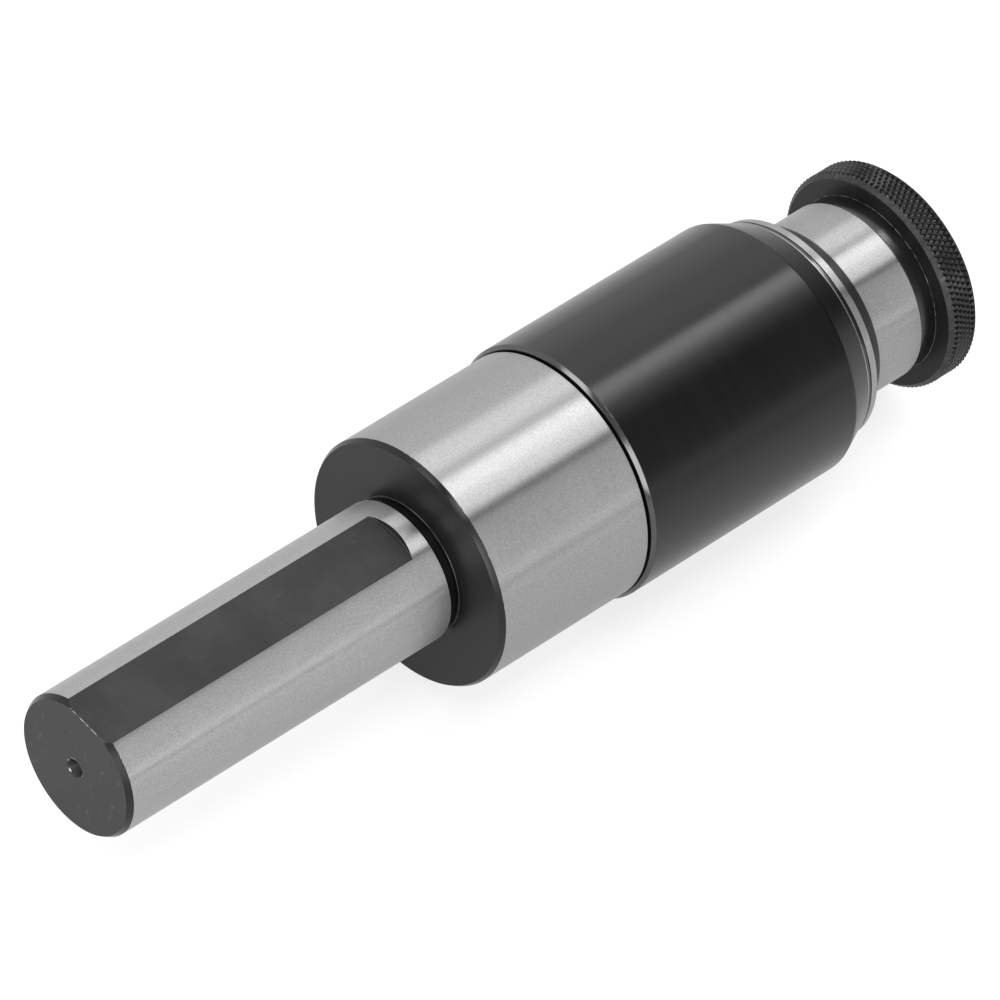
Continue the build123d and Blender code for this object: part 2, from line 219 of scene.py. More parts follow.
def cut(piece: Object, cutters: Sequence[Object]) -> None:
    """Take cutters out of a piece, and remove the cutters.

    Args:
        piece: The piece, whose mesh is replaced.
        cutters: Closed objects. Their faces keep their material slot in the cut.
    """
    for cutter in cutters:
        modifier = piece.modifiers.new("cut", "BOOLEAN")
        modifier.operation = "DIFFERENCE"
        modifier.solver = "EXACT"
        modifier.object = cutter
        modifier.material_mode = "INDEX"
    bpy.context.view_layer.update()
    evaluated = piece.evaluated_get(bpy.context.evaluated_depsgraph_get())
    mesh = bpy.data.meshes.new_from_object(evaluated)
    piece.modifiers.clear()
    old, piece.data = piece.data, mesh
    mesh.name = piece.name
    bpy.data.meshes.remove(old)
    for cutter in cutters:
        spent = cutter.data
        bpy.data.objects.remove(cutter)
        bpy.data.meshes.remove(spent)
    smooth(mesh)


def place(bm: BMesh, angle: float, x: float, radius: float) -> BMesh:
    """Move a bmesh along and off the axis, and turn it about the axis.

    Args:
        bm: The bmesh, drawn about the origin.
        angle: The turn in degrees, from +Z towards -Y.
        x: Place along the axis.
        radius: Distance from the axis.

    Returns:
        The same bmesh.
    """
    turned = Matrix.Rotation(radians(angle), 4, "X") @ Matrix.Translation((x, 0, radius))
    bmesh.ops.transform(bm, matrix=turned, verts=bm.verts)
    return bm


def close(bm: BMesh) -> None:
    """Fill every open rim of a bmesh."""
    bmesh.ops.holes_fill(bm, edges=[edge for edge in bm.edges if edge.is_boundary], sides=0)


@dataclass(frozen=True)
class Coil:
    """A spring of round wire with ends ground flat, in millimetres.

    Attributes:
        rear: Where it starts along the axis.
        front: Where it ends.
        radius: Mean radius at the rear.
        end_radius: Mean radius at the front.
        wire: Diameter of the wire.
        turns: How many turns it has.
        sides: Sides of the wire's section.
        steps: Steps of each turn.
    """

    rear: float
    front: float
    radius: float
    end_radius: float
    wire: float
    turns: float
    sides: int = 14
    steps: int = 40

    def wind(self, name: str) -> Object:
        """Wind the wire and grind its ends.

        Args:
            name: Name of the piece.

        Returns:
            The spring as an object.
        """
        steps = round(self.turns * self.steps)
        bm = bmesh.new()
        start = Matrix.Translation((self.rear, 0, self.radius)) @ Matrix.Rotation(pi / 2, 4, "X")
        bmesh.ops.create_circle(bm, segments=self.sides, radius=self.wire / 2, matrix=start)
        bmesh.ops.spin(bm, geom=bm.verts[:] + bm.edges[:], cent=(0, 0, 0), axis=(1, 0, 0),
                       dvec=((self.front - self.rear) / steps, 0, 0), angle=tau * self.turns,
                       steps=steps, use_merge=False)
        bm.verts.ensure_lookup_table()
        for index, vert in enumerate(bm.verts):
            share = (index // self.sides) / steps
            reach = off_axis(vert)
            drawn = (reach + (self.end_radius - self.radius) * share) / reach
            vert.co.y *= drawn
            vert.co.z *= drawn
        close(bm)
        for wall, side in ((self.rear, -1), (self.front, 1)):
            bmesh.ops.bisect_plane(bm, geom=bm.verts[:] + bm.edges[:] + bm.faces[:],
                                   plane_co=(wall, 0, 0), plane_no=(side, 0, 0), clear_outer=True)
            close(bm)
        return as_piece(bm, name, SPRING_SHARP)


@dataclass(frozen=True)
class Noise:
    """A noise from 0 to 1, and the span of it that makes a mask.

    Attributes:
        scale: Its scale, per metre of its coordinates.
        detail: How many finer layers it has.
        roughness: How strong the finer layers are.
        low: Where the mask starts.
        high: Where the mask is full.
    """

    scale: float
    detail: float
    roughness: float
    low: float = 0.0
    high: float = 1.0


LINES = Noise(1.0, 3.0, 0.6)
STREAKS = Noise(1.0, 2.0, 0.5)
CLOUD = Noise(90.0, 3.0, 0.5, 0.35, 0.65)
GRAIN = Noise(3600.0, 2.0, 0.6, 0.33, 0.67)
SPECKS = Noise(2600.0, 2.0, 0.6, 0.78, 0.86)
PATCHES = Noise(800.0, 3.0, 0.55, -0.03, 0.03)
CHIPS = Noise(1700.0, 2.0, 0.6, 0.6, 0.66)
SMUDGES = Noise(380.0, 4.0, 0.6, 0.61, 0.73)

# How far a wall leans where its marks change over to rings.
RINGED = (0.45, 0.55)
# How fast streaks change across the marks and along them, beside the lines.
STREAK_PACE = (0.12, 0.25)
# Width along the axis of the chips at an edge, in millimetres.
CHIP_WIDTH = 0.16
# How smudges are drawn out, and how they lean.
SMUDGE_DRAWN = 2.6
SMUDGE_LEAN = 0.8
# Shares of the lines and of the cloud in the wave that moves colour and roughness, and its span.
WAVE_LINES = 1.2
WAVE_CLOUD = 0.6
WAVE = (-0.5, 0.5)
# Share of the streaks in the bump.
BUMP_STREAKS = 0.5
# Turns a highlight from along the marks to across them.
QUARTER_TURN = 0.25


class Tree:
    """A short way to write shader nodes and their links."""

    def __init__(self, tree: NodeTree) -> None:
        """Take the node tree to write in."""
        self.tree = tree

    def node(self, kind: str, values: dict[int | str, object] | None = None,
             **settings: object) -> Node:
        """Add a node.

        Args:
            kind: The node's type name, without the word ShaderNode.
            values: A value or a socket for some inputs, by their number or name.
            settings: Properties to set on it.

        Returns:
            The node.
        """
        made = self.tree.nodes.new("ShaderNode" + kind)
        for name, value in settings.items():
            setattr(made, name, value)
        for label, value in (values or {}).items():
            self.feed(made.inputs[label], value)
        return made

    def feed(self, socket: NodeSocket, value: object) -> None:
        """Link a socket to another one, or set its value.

        Args:
            socket: The input.
            value: The output to link it to, or its value.
        """
        if isinstance(value, NodeSocket):
            self.tree.links.new(value, socket)
        else:
            socket.default_value = value

    def math(self, operation: str, *values: object) -> NodeSocket:
        """A Math node's result from numbers or sockets."""
        return self.node("Math", dict(enumerate(values)), operation=operation).outputs[0]

    def parts(self, vector: NodeSocket) -> Sequence[NodeSocket]:
        """The three parts of a vector."""
        return self.node("SeparateXYZ", {0: vector}).outputs

    def vector(self, *parts: object) -> NodeSocket:
        """A vector of three parts."""
        return self.node("CombineXYZ", dict(enumerate(parts))).outputs[0]

    def dot(self, vector: NodeSocket, other: Sequence[float]) -> NodeSocket:
        """The share of a vector that lies along a direction."""
        made = self.node("VectorMath", {0: vector, 1: other}, operation="DOT_PRODUCT")
        return made.outputs["Value"]

    def mix(self, share: object, first: object, second: object) -> NodeSocket:
        """Mix two colours."""
        made = self.node("Mix", {0: share, 6: first, 7: second}, data_type="RGBA")
        return made.outputs[2]

    def blend(self, share: object, first: object, second: object) -> NodeSocket:
        """Mix two numbers."""
        made = self.node("Mix", {0: share, 2: first, 3: second}, data_type="FLOAT")
        return made.outputs[0]

    def span(self, value: object, low: float, high: float, to_low: float = 0.0,
             to_high: float = 1.0) -> NodeSocket:
        """Map one span of numbers onto another, and stop at its ends."""
        ends = dict(enumerate((value, low, high, to_low, to_high)))
        return self.node("MapRange", ends, clamp=True).outputs[0]

    def shaded(self, colour: object, mask: object, depth: float) -> NodeSocket:
        """A colour that a mask makes darker and lighter, by up to a share of itself."""
        shade = {0: colour, "Scale": self.blend(mask, 1 - depth, 1 + depth)}
        return self.node("VectorMath", shade, operation="SCALE").outputs[0]

    def noise(self, where: object, noise: Noise) -> NodeSocket:
        """A noise from 0 to 1."""
        looks = {"Scale": noise.scale, "Detail": noise.detail, "Roughness": noise.roughness}
        return self.node("TexNoise", {"Vector": where, **looks}).outputs["Fac"]

    def mask(self, where: object, noise: Noise) -> NodeSocket:
        """A noise's mask."""
        return self.span(self.noise(where, noise), noise.low, noise.high)


def new_group(name: str, takes: dict[str, tuple[str, object]], gives: Sequence[str]
              ) -> tuple[Tree, NodeOutputs, NodeInputs]:
    """Start a shader node group.

    Args:
        name: The group's name.
        takes: Each input's name, with its socket type and default.
        gives: Names of the outputs, all numbers.

    Returns:
        The group's tree, the sockets that bring what it takes, and those for what it gives.
    """
    group = bpy.data.node_groups.new(name, "ShaderNodeTree")
    for label, (kind, default) in takes.items():
        socket = group.interface.new_socket(label, in_out="INPUT", socket_type=kind)
        if default is not None:
            socket.default_value = default
    for label in gives:
        group.interface.new_socket(label, in_out="OUTPUT", socket_type="NodeSocketFloat")
    return (Tree(group), group.nodes.new("NodeGroupInput").outputs,
            group.nodes.new("NodeGroupOutput").inputs)


def tool_mark_group() -> NodeTree:
    """Marks that turning or grinding leaves: round the axis on walls, and rings on faces.

    Returns:
        A group from object coordinates and normal to fine lines, streaks and cloud.
    """
    takes = {
        "Place": ("NodeSocketVector", None),
        "Normal": ("NodeSocketVector", None),
        "Lines per mm": ("NodeSocketFloat", 12.0),
        "Line length": ("NodeSocketFloat", 0.5),
    }
    t, entry, leave = new_group("Tool marks", takes, ("Lines", "Streaks", "Cloud"))
    x, y, z = t.parts(entry["Place"])
    radius = t.math("SQRT", t.math("ADD", t.math("MULTIPLY", y, y), t.math("MULTIPLY", z, z)))
    lean = t.math("ABSOLUTE", t.dot(entry["Normal"], (1, 0, 0)))
    across = t.blend(t.span(lean, *RINGED), x, radius)
    lines = t.math("MULTIPLY", across, t.math("MULTIPLY", entry["Lines per mm"], 1 / MM))
    along = t.math("MULTIPLY", entry["Line length"], 1 / MM)

    def marked(fast: float, slow: float) -> NodeSocket:
        """Coordinates that run fast across the marks and slowly along them."""
        pace = t.math("MULTIPLY", along, slow)
        return t.vector(t.math("MULTIPLY", lines, fast), t.math("MULTIPLY", y, pace),
                        t.math("MULTIPLY", z, pace))

    t.feed(leave["Lines"], t.noise(marked(1.0, 1.0), LINES))
    t.feed(leave["Streaks"], t.noise(marked(*STREAK_PACE), STREAKS))
    t.feed(leave["Cloud"], t.noise(entry["Place"], CLOUD))
    return t.tree


def wear_group() -> NodeTree:
    """Bright metal where a black finish is worn away.

    Returns:
        A group from object coordinates to patches, small chips along an edge, and smudges.
    """
    takes = {
        "Place": ("NodeSocketVector", None),
        "Cover": ("NodeSocketFloat", 0.5),
        "Edge": ("NodeSocketFloat", 0.0),
        "Edge width": ("NodeSocketFloat", CHIP_WIDTH * MM),
    }
    t, entry, leave = new_group("Wear", takes, ("Patches", "Chips", "Smudges"))
    above = t.math("SUBTRACT", t.noise(entry["Place"], PATCHES), entry["Cover"])
    t.feed(leave["Patches"], t.span(above, PATCHES.low, PATCHES.high))
    x, y, z = t.parts(entry["Place"])
    away = t.math("ABSOLUTE", t.math("SUBTRACT", x, entry["Edge"]))
    near = t.math("LESS_THAN", away, entry["Edge width"])
    t.feed(leave["Chips"], t.math("MULTIPLY", near, t.mask(entry["Place"], CHIPS)))
    drawn = t.vector(x, t.math("MULTIPLY", y, SMUDGE_DRAWN),
                     t.math("ADD", z, t.math("MULTIPLY", y, SMUDGE_LEAN)))
    t.feed(leave["Smudges"], t.mask(drawn, SMUDGES))
    return t.tree


def grey(level: float) -> Colour:
    """A plain grey, linear."""
    return level, level, level


def opaque(colour: Sequence[float]) -> tuple[float, ...]:
    """A colour with its alpha."""
    return *colour, 1.0


@dataclass(frozen=True)
class Finish:
    """A metal or rubber surface with tool marks.

    Attributes:
        name: Name of the material.
        colour: Base colour, linear.
        metal: How metallic it is.
        rough: Roughness.
        rough_spread: How far the marks move the roughness.
        tint_spread: How far the marks move the brightness of the colour.
        grain: How far a fine even grain moves the brightness of the colour.
        clouds: How far slow clouds move the brightness of the colour.
        lines: Fine marks per millimetre.
        line_length: How fast the marks change along their length, per millimetre.
        height: Depth of the marks in the bump, in micrometres.
        anisotropy: How far highlights are drawn out across the marks.
        specular: Specular level of a surface that isn't metal.
        speck: Share of small bright specks, as where a black finish is rubbed.
        speck_colour: Colour of specks, chips and smudges.
        cover: Share of bright metal that a black finish still covers, in patches.
        cover_colour: Colour of that black finish.
        chipped_at: Place along the axis, in millimetres, of an edge with bright chips, or None.
        smudge: Strength of pale smudges.
    """

    name: str
    colour: Colour
    metal: float = 1.0
    rough: float = 0.3
    rough_spread: float = 0.1
    tint_spread: float = 0.15
    grain: float = 0.0
    clouds: float = 0.0
    lines: float = 9.0
    line_length: float = 0.35
    height: float = 0.6
    anisotropy: float = 0.0
    specular: float = 0.5
    speck: float = 0.0
    speck_colour: Colour = grey(0.45)
    cover: float = 0.0
    cover_colour: Colour = grey(0.006)
    chipped_at: float | None = None
    smudge: float = 0.0

    def build(self, marks: NodeTree, wear: NodeTree) -> Material:
        """Make the material.

        Args:
            marks: The group of tool marks.
            wear: The group of worn patches.

        Returns:
            The material.
        """
        material = bpy.data.materials.new(self.name)
        material.use_nodes = True
        t = Tree(material.node_tree)
        surface = material.node_tree.nodes["Principled BSDF"].inputs
        where = t.node("TexCoord").outputs
        marked = t.node("Group", {"Place": where["Object"], "Normal": where["Normal"],
                                  "Lines per mm": self.lines, "Line length": self.line_length},
                        node_tree=marks).outputs
        lines, streaks, cloud = marked["Lines"], marked["Streaks"], marked["Cloud"]
        wave = t.math("ADD", t.math("MULTIPLY", t.math("SUBTRACT", lines, 0.5), WAVE_LINES),
                      t.math("SUBTRACT", streaks, 0.5))
        wave = t.math("ADD", wave, t.math("MULTIPLY", t.math("SUBTRACT", cloud, 0.5), WAVE_CLOUD))
        low, high = (opaque([min(1.0, part * share) for part in self.colour])
                     for share in (1 - self.tint_spread, 1 + self.tint_spread))
        colour = t.mix(t.span(wave, *WAVE), low, high)
        if self.grain:
            colour = t.shaded(colour, t.mask(where["Object"], GRAIN), self.grain)
        if self.clouds:
            colour = t.shaded(colour, t.span(cloud, CLOUD.low, CLOUD.high), self.clouds)
        if self.speck:
            rubbed = t.span(t.noise(where["Object"], SPECKS), SPECKS.low - self.speck,
                            SPECKS.high - self.speck)
            colour = t.mix(rubbed, colour, opaque(self.speck_colour))
        if self.cover or self.smudge or self.chipped_at is not None:
            worn = t.node("Group", {"Place": where["Object"], "Cover": self.cover,
                                    "Edge": (self.chipped_at or 0.0) * MM}, node_tree=wear).outputs
        if self.smudge:
            smudged = t.math("MULTIPLY", worn["Smudges"], self.smudge)
            colour = t.mix(smudged, colour, opaque(self.speck_colour))
        if self.cover:
            colour = t.mix(worn["Patches"], opaque(self.cover_colour), colour)
            t.feed(surface["Metallic"], worn["Patches"])
        elif self.chipped_at is not None:
            colour = t.mix(worn["Chips"], colour, opaque(self.speck_colour))
            t.feed(surface["Metallic"], worn["Chips"])
        else:
            surface["Metallic"].default_value = self.metal
        t.feed(surface["Base Color"], colour)
        t.feed(surface["Roughness"], t.span(wave, *WAVE, self.rough - self.rough_spread,
                                            self.rough + self.rough_spread))
        surface["Specular IOR Level"].default_value = self.specular
        if self.anisotropy:
            surface["Anisotropic"].default_value = self.anisotropy
            surface["Anisotropic Rotation"].default_value = QUARTER_TURN
            tangent = t.node("Tangent", direction_type="RADIAL", axis="X")
            t.feed(surface["Tangent"], tangent.outputs[0])
        relief = t.math("ADD", lines, t.math("MULTIPLY", streaks, BUMP_STREAKS))
        bump = t.node("Bump", {"Strength": 1.0, "Distance": self.height * MICRON,
                               "Height": relief})
        t.feed(surface["Normal"], bump.outputs[0])
        return material


GROUND = Finish("ground_steel", grey(0.38), rough=0.32, rough_spread=0.03, tint_spread=0.03,
                grain=0.13, lines=7.0, line_length=0.5, height=0.12, anisotropy=1.0)
GROUND_SHANK = replace(GROUND, name="ground_shank", colour=grey(0.425), grain=0.14)
BLACKED = Finish("black_steel", (0.003, 0.003, 0.0031), metal=0.0, rough=0.22, rough_spread=0.03,
                 tint_spread=0.3, lines=6.0, line_length=0.15, height=0.2, anisotropy=0.5,
                 specular=0.43)
BLACK_CONE = replace(BLACKED, name="black_cone", specular=0.3)
HUB_BLACK = replace(BLACKED, name="hub_black", rough=0.2, rough_spread=0.04, lines=5.0,
                    line_length=0.2, anisotropy=0.0, specular=0.8)
BLACK_CHAMFER = Finish("matt_chamfer", (0.029, 0.029, 0.0295), metal=0.0, rough=0.42,
                       rough_spread=0.08, tint_spread=0.9, lines=1.2, line_length=1.4, height=0.8,
                       specular=0.22, speck_colour=grey(0.14), chipped_at=104.3, smudge=0.5)
BRIGHT_CHAMFER = Finish("bright_chamfer", (0.11, 0.11, 0.112), rough=0.14, rough_spread=0.03,
                        lines=3.0, line_length=0.3, height=0.1)
BLACK_FACE = Finish("black_face", (0.006, 0.006, 0.0062), metal=0.0, rough=0.36, rough_spread=0.08,
                    tint_spread=0.4, lines=2.0, line_length=0.1, height=1.2, specular=0.36,
                    speck=0.02)
BLACK_END = Finish("black_end_face", (0.014, 0.014, 0.0144), metal=0.0, rough=0.38,
                   rough_spread=0.08, tint_spread=0.5, lines=2.5, line_length=0.2, height=1.0,
                   specular=0.4, speck_colour=grey(0.16), smudge=0.26)
BLACK_BEVEL = Finish("black_bevel", (0.006, 0.006, 0.0062), metal=0.0, rough=0.36,
                     rough_spread=0.05, tint_spread=0.3, lines=4.0, line_length=0.2, specular=0.3)
MATT = Finish("matt_black", (0.004, 0.004, 0.0041), metal=0.0, rough=0.62, rough_spread=0.06,
              tint_spread=0.3, lines=2.0, line_length=0.5, height=0.4, specular=0.1)
KNURLED = replace(MATT, name="knurled_black", colour=BLACKED.colour, rough=0.26, specular=0.33,
                  speck_colour=grey(0.14), chipped_at=104.4)
CREST = Finish("worn_crest", (0.08, 0.08, 0.081), rough=0.28, rough_spread=0.06, tint_spread=0.3,
               lines=2.0, line_length=0.5, height=0.3)
MILLED = Finish("milled_flat", (0.016, 0.016, 0.0164), metal=0.0, rough=0.40, rough_spread=0.04,
                tint_spread=0.25, clouds=0.28, lines=3.0, line_length=0.4, height=0.5,
                specular=0.27, speck_colour=grey(0.1), smudge=0.12)
WORN = Finish("worn_edge", grey(0.55), tint_spread=0.3, lines=3.0, line_length=1.2, height=0.3,
              specular=0.43, cover=0.53)
WORN_ROOT = replace(WORN, name="worn_root", colour=grey(0.12), rough=0.36, specular=0.3,
                    cover=0.49)
RUBBED = Finish("rubbed_edge", grey(0.075), rough=0.4, tint_spread=0.6, lines=3.0,
                line_length=1.0, height=0.3)
BRIGHT_EDGE = Finish("bright_edge", grey(0.36), rough=0.36, rough_spread=0.08, tint_spread=0.3,
                     lines=3.0, line_length=1.0, height=0.2)
NICKED = replace(BRIGHT_EDGE, name="nicked_edge", colour=grey(0.42), rough=0.34, cover=0.5,
                 cover_colour=grey(0.03))
HARD = Finish("hardened_steel", grey(0.36), rough=0.28, rough_spread=0.06, lines=8.0)
BALL = Finish("ball_steel", (0.62, 0.62, 0.63), rough=0.08, rough_spread=0.03, tint_spread=0.04,
              lines=2.0, height=0.1)
SPRING = Finish("spring_steel", (0.16, 0.16, 0.165), rough=0.32, rough_spread=0.08,
                tint_spread=0.2, lines=5.0)
BOLT = Finish("bolt_steel", (0.05, 0.05, 0.052), metal=0.3, rough=0.38, rough_spread=0.08)
BRONZE = Finish("bronze", (0.46, 0.28, 0.12), rough_spread=0.07, lines=5.0)
# Black rubber: the wiper's own colour, and painted shade where the ring in the gap behind the
# sleeve uses it.
RUBBER = Finish("seal_rubber", grey(0.012), metal=0.0, rough=0.6, rough_spread=0.08,
                lines=1.0, height=2.0, specular=0.3)
# What each dressed piece is finished with, in the order of the skins.
TURNED = (GROUND, BLACKED, BLACK_FACE, WORN, RUBBED, BLACK_END, MILLED, NICKED, GROUND_SHANK,
          MATT)
SLEEVE = (BLACKED, BRIGHT_CHAMFER, BLACK_FACE, BRIGHT_EDGE, BLACK_CONE)
CAP = (GROUND, BLACK_BEVEL)
RING = (HUB_BLACK, BLACK_CHAMFER, BLACK_FACE, WORN, WORN_ROOT, MATT, KNURLED, CREST)


class Workshop:
    """Holds the shader groups and the materials, each made once."""

    def __init__(self) -> None:
        """Build the shared groups."""
        self.marks = tool_mark_group()
        self.wear = wear_group()
        self.made: dict[str, Material] = {}

    def material(self, finish: Finish) -> Material:
        """The material of a finish, built on first use.

        Args:
            finish: The finish.

        Returns:
            Its material.
        """
        if finish.name not in self.made:
            self.made[finish.name] = finish.build(self.marks, self.wear)
            log.info("finish %s", finish.name)
        return self.made[finish.name]


@dataclass
class Assembly:
    """Parts of the tool that are built and dressed together."""

    workshop: Workshop

    def dress(self, piece: Object, slot: str, *finishes: Finish) -> Object:
        """Give a piece its finishes, in the order of the skins.

        Args:
            piece: The piece.
            slot: Material slot of the record that it belongs to; not used.
            finishes: One finish for each skin that the piece uses.

        Returns:
            The piece.
        """
        for finish in finishes:
            piece.data.materials.append(self.workshop.material(finish))
        return piece

    def settle(self, piece: Object, body: str, *nodes: str) -> None:
        """Put a piece on its body in place of CAD nodes, and report it.

        Args:
            piece: The piece.
            body: The body that it rides on.
            nodes: The CAD nodes that it replaces.
        """
        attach(piece, body)
        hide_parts(*nodes)
        log.info("piece %s on %s, %d faces", piece.name, body, len(piece.data.polygons))

    def spring(self, coil: Coil, name: str, node: str, rear: str, front: str) -> None:
        """Wind a spring between two bodies in place of its CAD node, and report it.

        Args:
            coil: The spring.
            name: Name of the piece.
            node: The CAD node that it replaces.
            rear: The body at its rear end.
            front: The body at its front end.
        """
        piece = self.dress(coil.wind(name), "spring_steel", SPRING)
        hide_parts(node)
        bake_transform(piece)
        log.info("piece %s between %s and %s", name, rear, front)

    def keep(self, finish: Finish, *nodes: str) -> None:
        """Leave CAD nodes in view, with a better material.

        Args:
            finish: The finish that they get.
            nodes: Their names.
        """
        for node in nodes:
            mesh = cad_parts[node].data
            mesh.materials.clear()
            mesh.materials.append(self.workshop.material(finish))
            log.info("node %s keeps its shape, finish %s", node, finish.name)


@dataclass
class Shank(Assembly):
    """Straight shank with its flat, and the stop collar with its spigot, in one piece."""

    rear: float = -70.0
    radius: float = 12.5
    chamfer_length: float = 1.0
    chamfer_step: float = 0.62
    hole_mouth: float = 1.7
    hole_pilot: float = 0.8
    hole_depth: float = 4.0
    relief_width: float = 2.0
    relief_radius: float = 12.0
    undercut_radius: float = 12.62
    undercut_depth: float = 0.2
    collar_radius: float = 21.95
    collar_chamfer_length: float = 0.9
    collar_chamfer_step: float = 0.54
    collar_front: float = 32.0
    spigot_radius: float = 20.0
    spigot_front: float = 42.0
    cavity_floor: float = 10.0
    cavity_radius: float = 16.05
    thread_radius: float = 4.02
    thread_end: float = -9.0
    flat_height: float = 11.35
    flat_end: float = -5.1
    flat_edge: float = 0.09
    flat_foot: float = 0.1
    foot_reach: float = 1.5
    foot_turn: float = 1.4
    cutter_radius: float = 16.0
    cutter_height: float = 4.0
    cutter_overrun: float = 5.0
    cutter_steps: int = 256

    def outline(self) -> list[Corner]:
        """The turned outline, from the centre hole round the outside to the tapped hole.

        Returns:
            The corners.
        """
        cone = self.rear + (self.hole_mouth - self.hole_pilot) * sqrt(3)
        return [
            Corner(self.rear + self.hole_depth, 0, Skin.DEEP),
            Corner(self.rear + self.hole_depth, self.hole_pilot, Skin.DEEP),
            Corner(cone, self.hole_pilot, Skin.FACE),
            Corner(self.rear, self.hole_mouth, Skin.END, 0.16, Skin.WORN),
            Corner(self.rear, self.radius - self.chamfer_step, Skin.DARK),
            Corner(self.rear + self.chamfer_length, self.radius, Skin.SHANK, 0.06),
            Corner(-self.relief_width, self.radius, Skin.DARK, 0.06),
            Corner(-self.relief_width, self.relief_radius, Skin.DARK),
            Corner(self.undercut_depth, self.relief_radius, Skin.DARK, 0.16, Skin.RUBBED),
            Corner(self.undercut_depth, self.undercut_radius, Skin.DARK),
            Corner(0, self.undercut_radius, Skin.FACE),
            Corner(0, self.collar_radius - self.collar_chamfer_step, Skin.DARK, 0.1),
            Corner(self.collar_chamfer_length, self.collar_radius, edge=0.06),
            Corner(self.collar_front, self.collar_radius, edge=0.12),
            Corner(self.collar_front, self.spigot_radius),
            Corner(self.spigot_front, self.spigot_radius, edge=0.3),
            Corner(self.spigot_front, self.cavity_radius, edge=0.2),
            Corner(self.cavity_floor, self.cavity_radius),
            Corner(self.cavity_floor, self.thread_radius),
            Corner(self.thread_end, self.thread_radius),
            Corner(self.thread_end, 0),
        ]

    def flat_cutter(self) -> Object:
        """The end mill's path: a straight run that ends in a half round.

        Returns:
            The cutter.
        """
        bm = bmesh.new()
        centre = self.flat_end - self.cutter_radius
        bmesh.ops.create_circle(bm, cap_ends=True, segments=self.cutter_steps,
                                radius=self.cutter_radius,
                                matrix=Matrix.Translation((centre, 0, self.flat_height)))
        for vert in bm.verts:
            if vert.co.x < centre - NOTHING:
                vert.co.x = self.rear - self.cutter_overrun
        bmesh.ops.remove_doubles(bm, verts=bm.verts, dist=MERGED)
        lifted = bmesh.ops.extrude_face_region(bm, geom=bm.faces[:])
        bmesh.ops.translate(bm, vec=(0, 0, self.cutter_height), verts=[
            item for item in lifted["geom"] if isinstance(item, BMVert)])
        paint(bm.faces, Skin.FLAT)
        return as_piece(bm, "flat_cutter")

    def break_flat_edges(self, mesh: Mesh) -> None:
        """Break the flat's edge at the rear face, and the foot of its end wall.

        Args:
            mesh: The shank's mesh, with the flat milled.
        """
        bm = bmesh.new()
        bm.from_mesh(mesh)
        height, rear = self.flat_height * MM, self.rear * MM
        reach = (self.flat_end - self.foot_reach) * MM
        level = [edge for edge in bm.edges
                 if all(abs(v.co.z - height) < NOTHING for v in edge.verts)]
        mouth = [edge for edge in level if all(abs(v.co.x - rear) < NOTHING for v in edge.verts)]
        foot = [edge for edge in level if edge.calc_face_angle(0) > self.foot_turn
                and all(v.co.x > reach for v in edge.verts)]
        for edges, width, skin in ((mouth, self.flat_edge, Skin.BRIGHT),
                                   (foot, self.flat_foot, Skin.RUBBED)):
            made = bmesh.ops.bevel(bm, geom=edges, offset=width * MM, offset_type="OFFSET",
                                   segments=2, profile=0.5, affect="EDGES", clamp_overlap=False,
                                   material=-1)
            log.info("broke %d edges of the flat, %d faces", len(edges), len(made["faces"]))
            paint(made["faces"], skin)
        bm.to_mesh(mesh)
        bm.free()
        smooth(mesh)

    def build(self) -> None:
        """Turn the body, mill the flat, and put it in place of its CAD node."""
        body = self.dress(as_piece(turn(self.outline()), "shank"), "ground_steel", *TURNED)
        cut(body, [self.dress(self.flat_cutter(), "ground_steel", *TURNED)])
        self.break_flat_edges(body.data)
        self.settle(body, "housing", "shank_body")


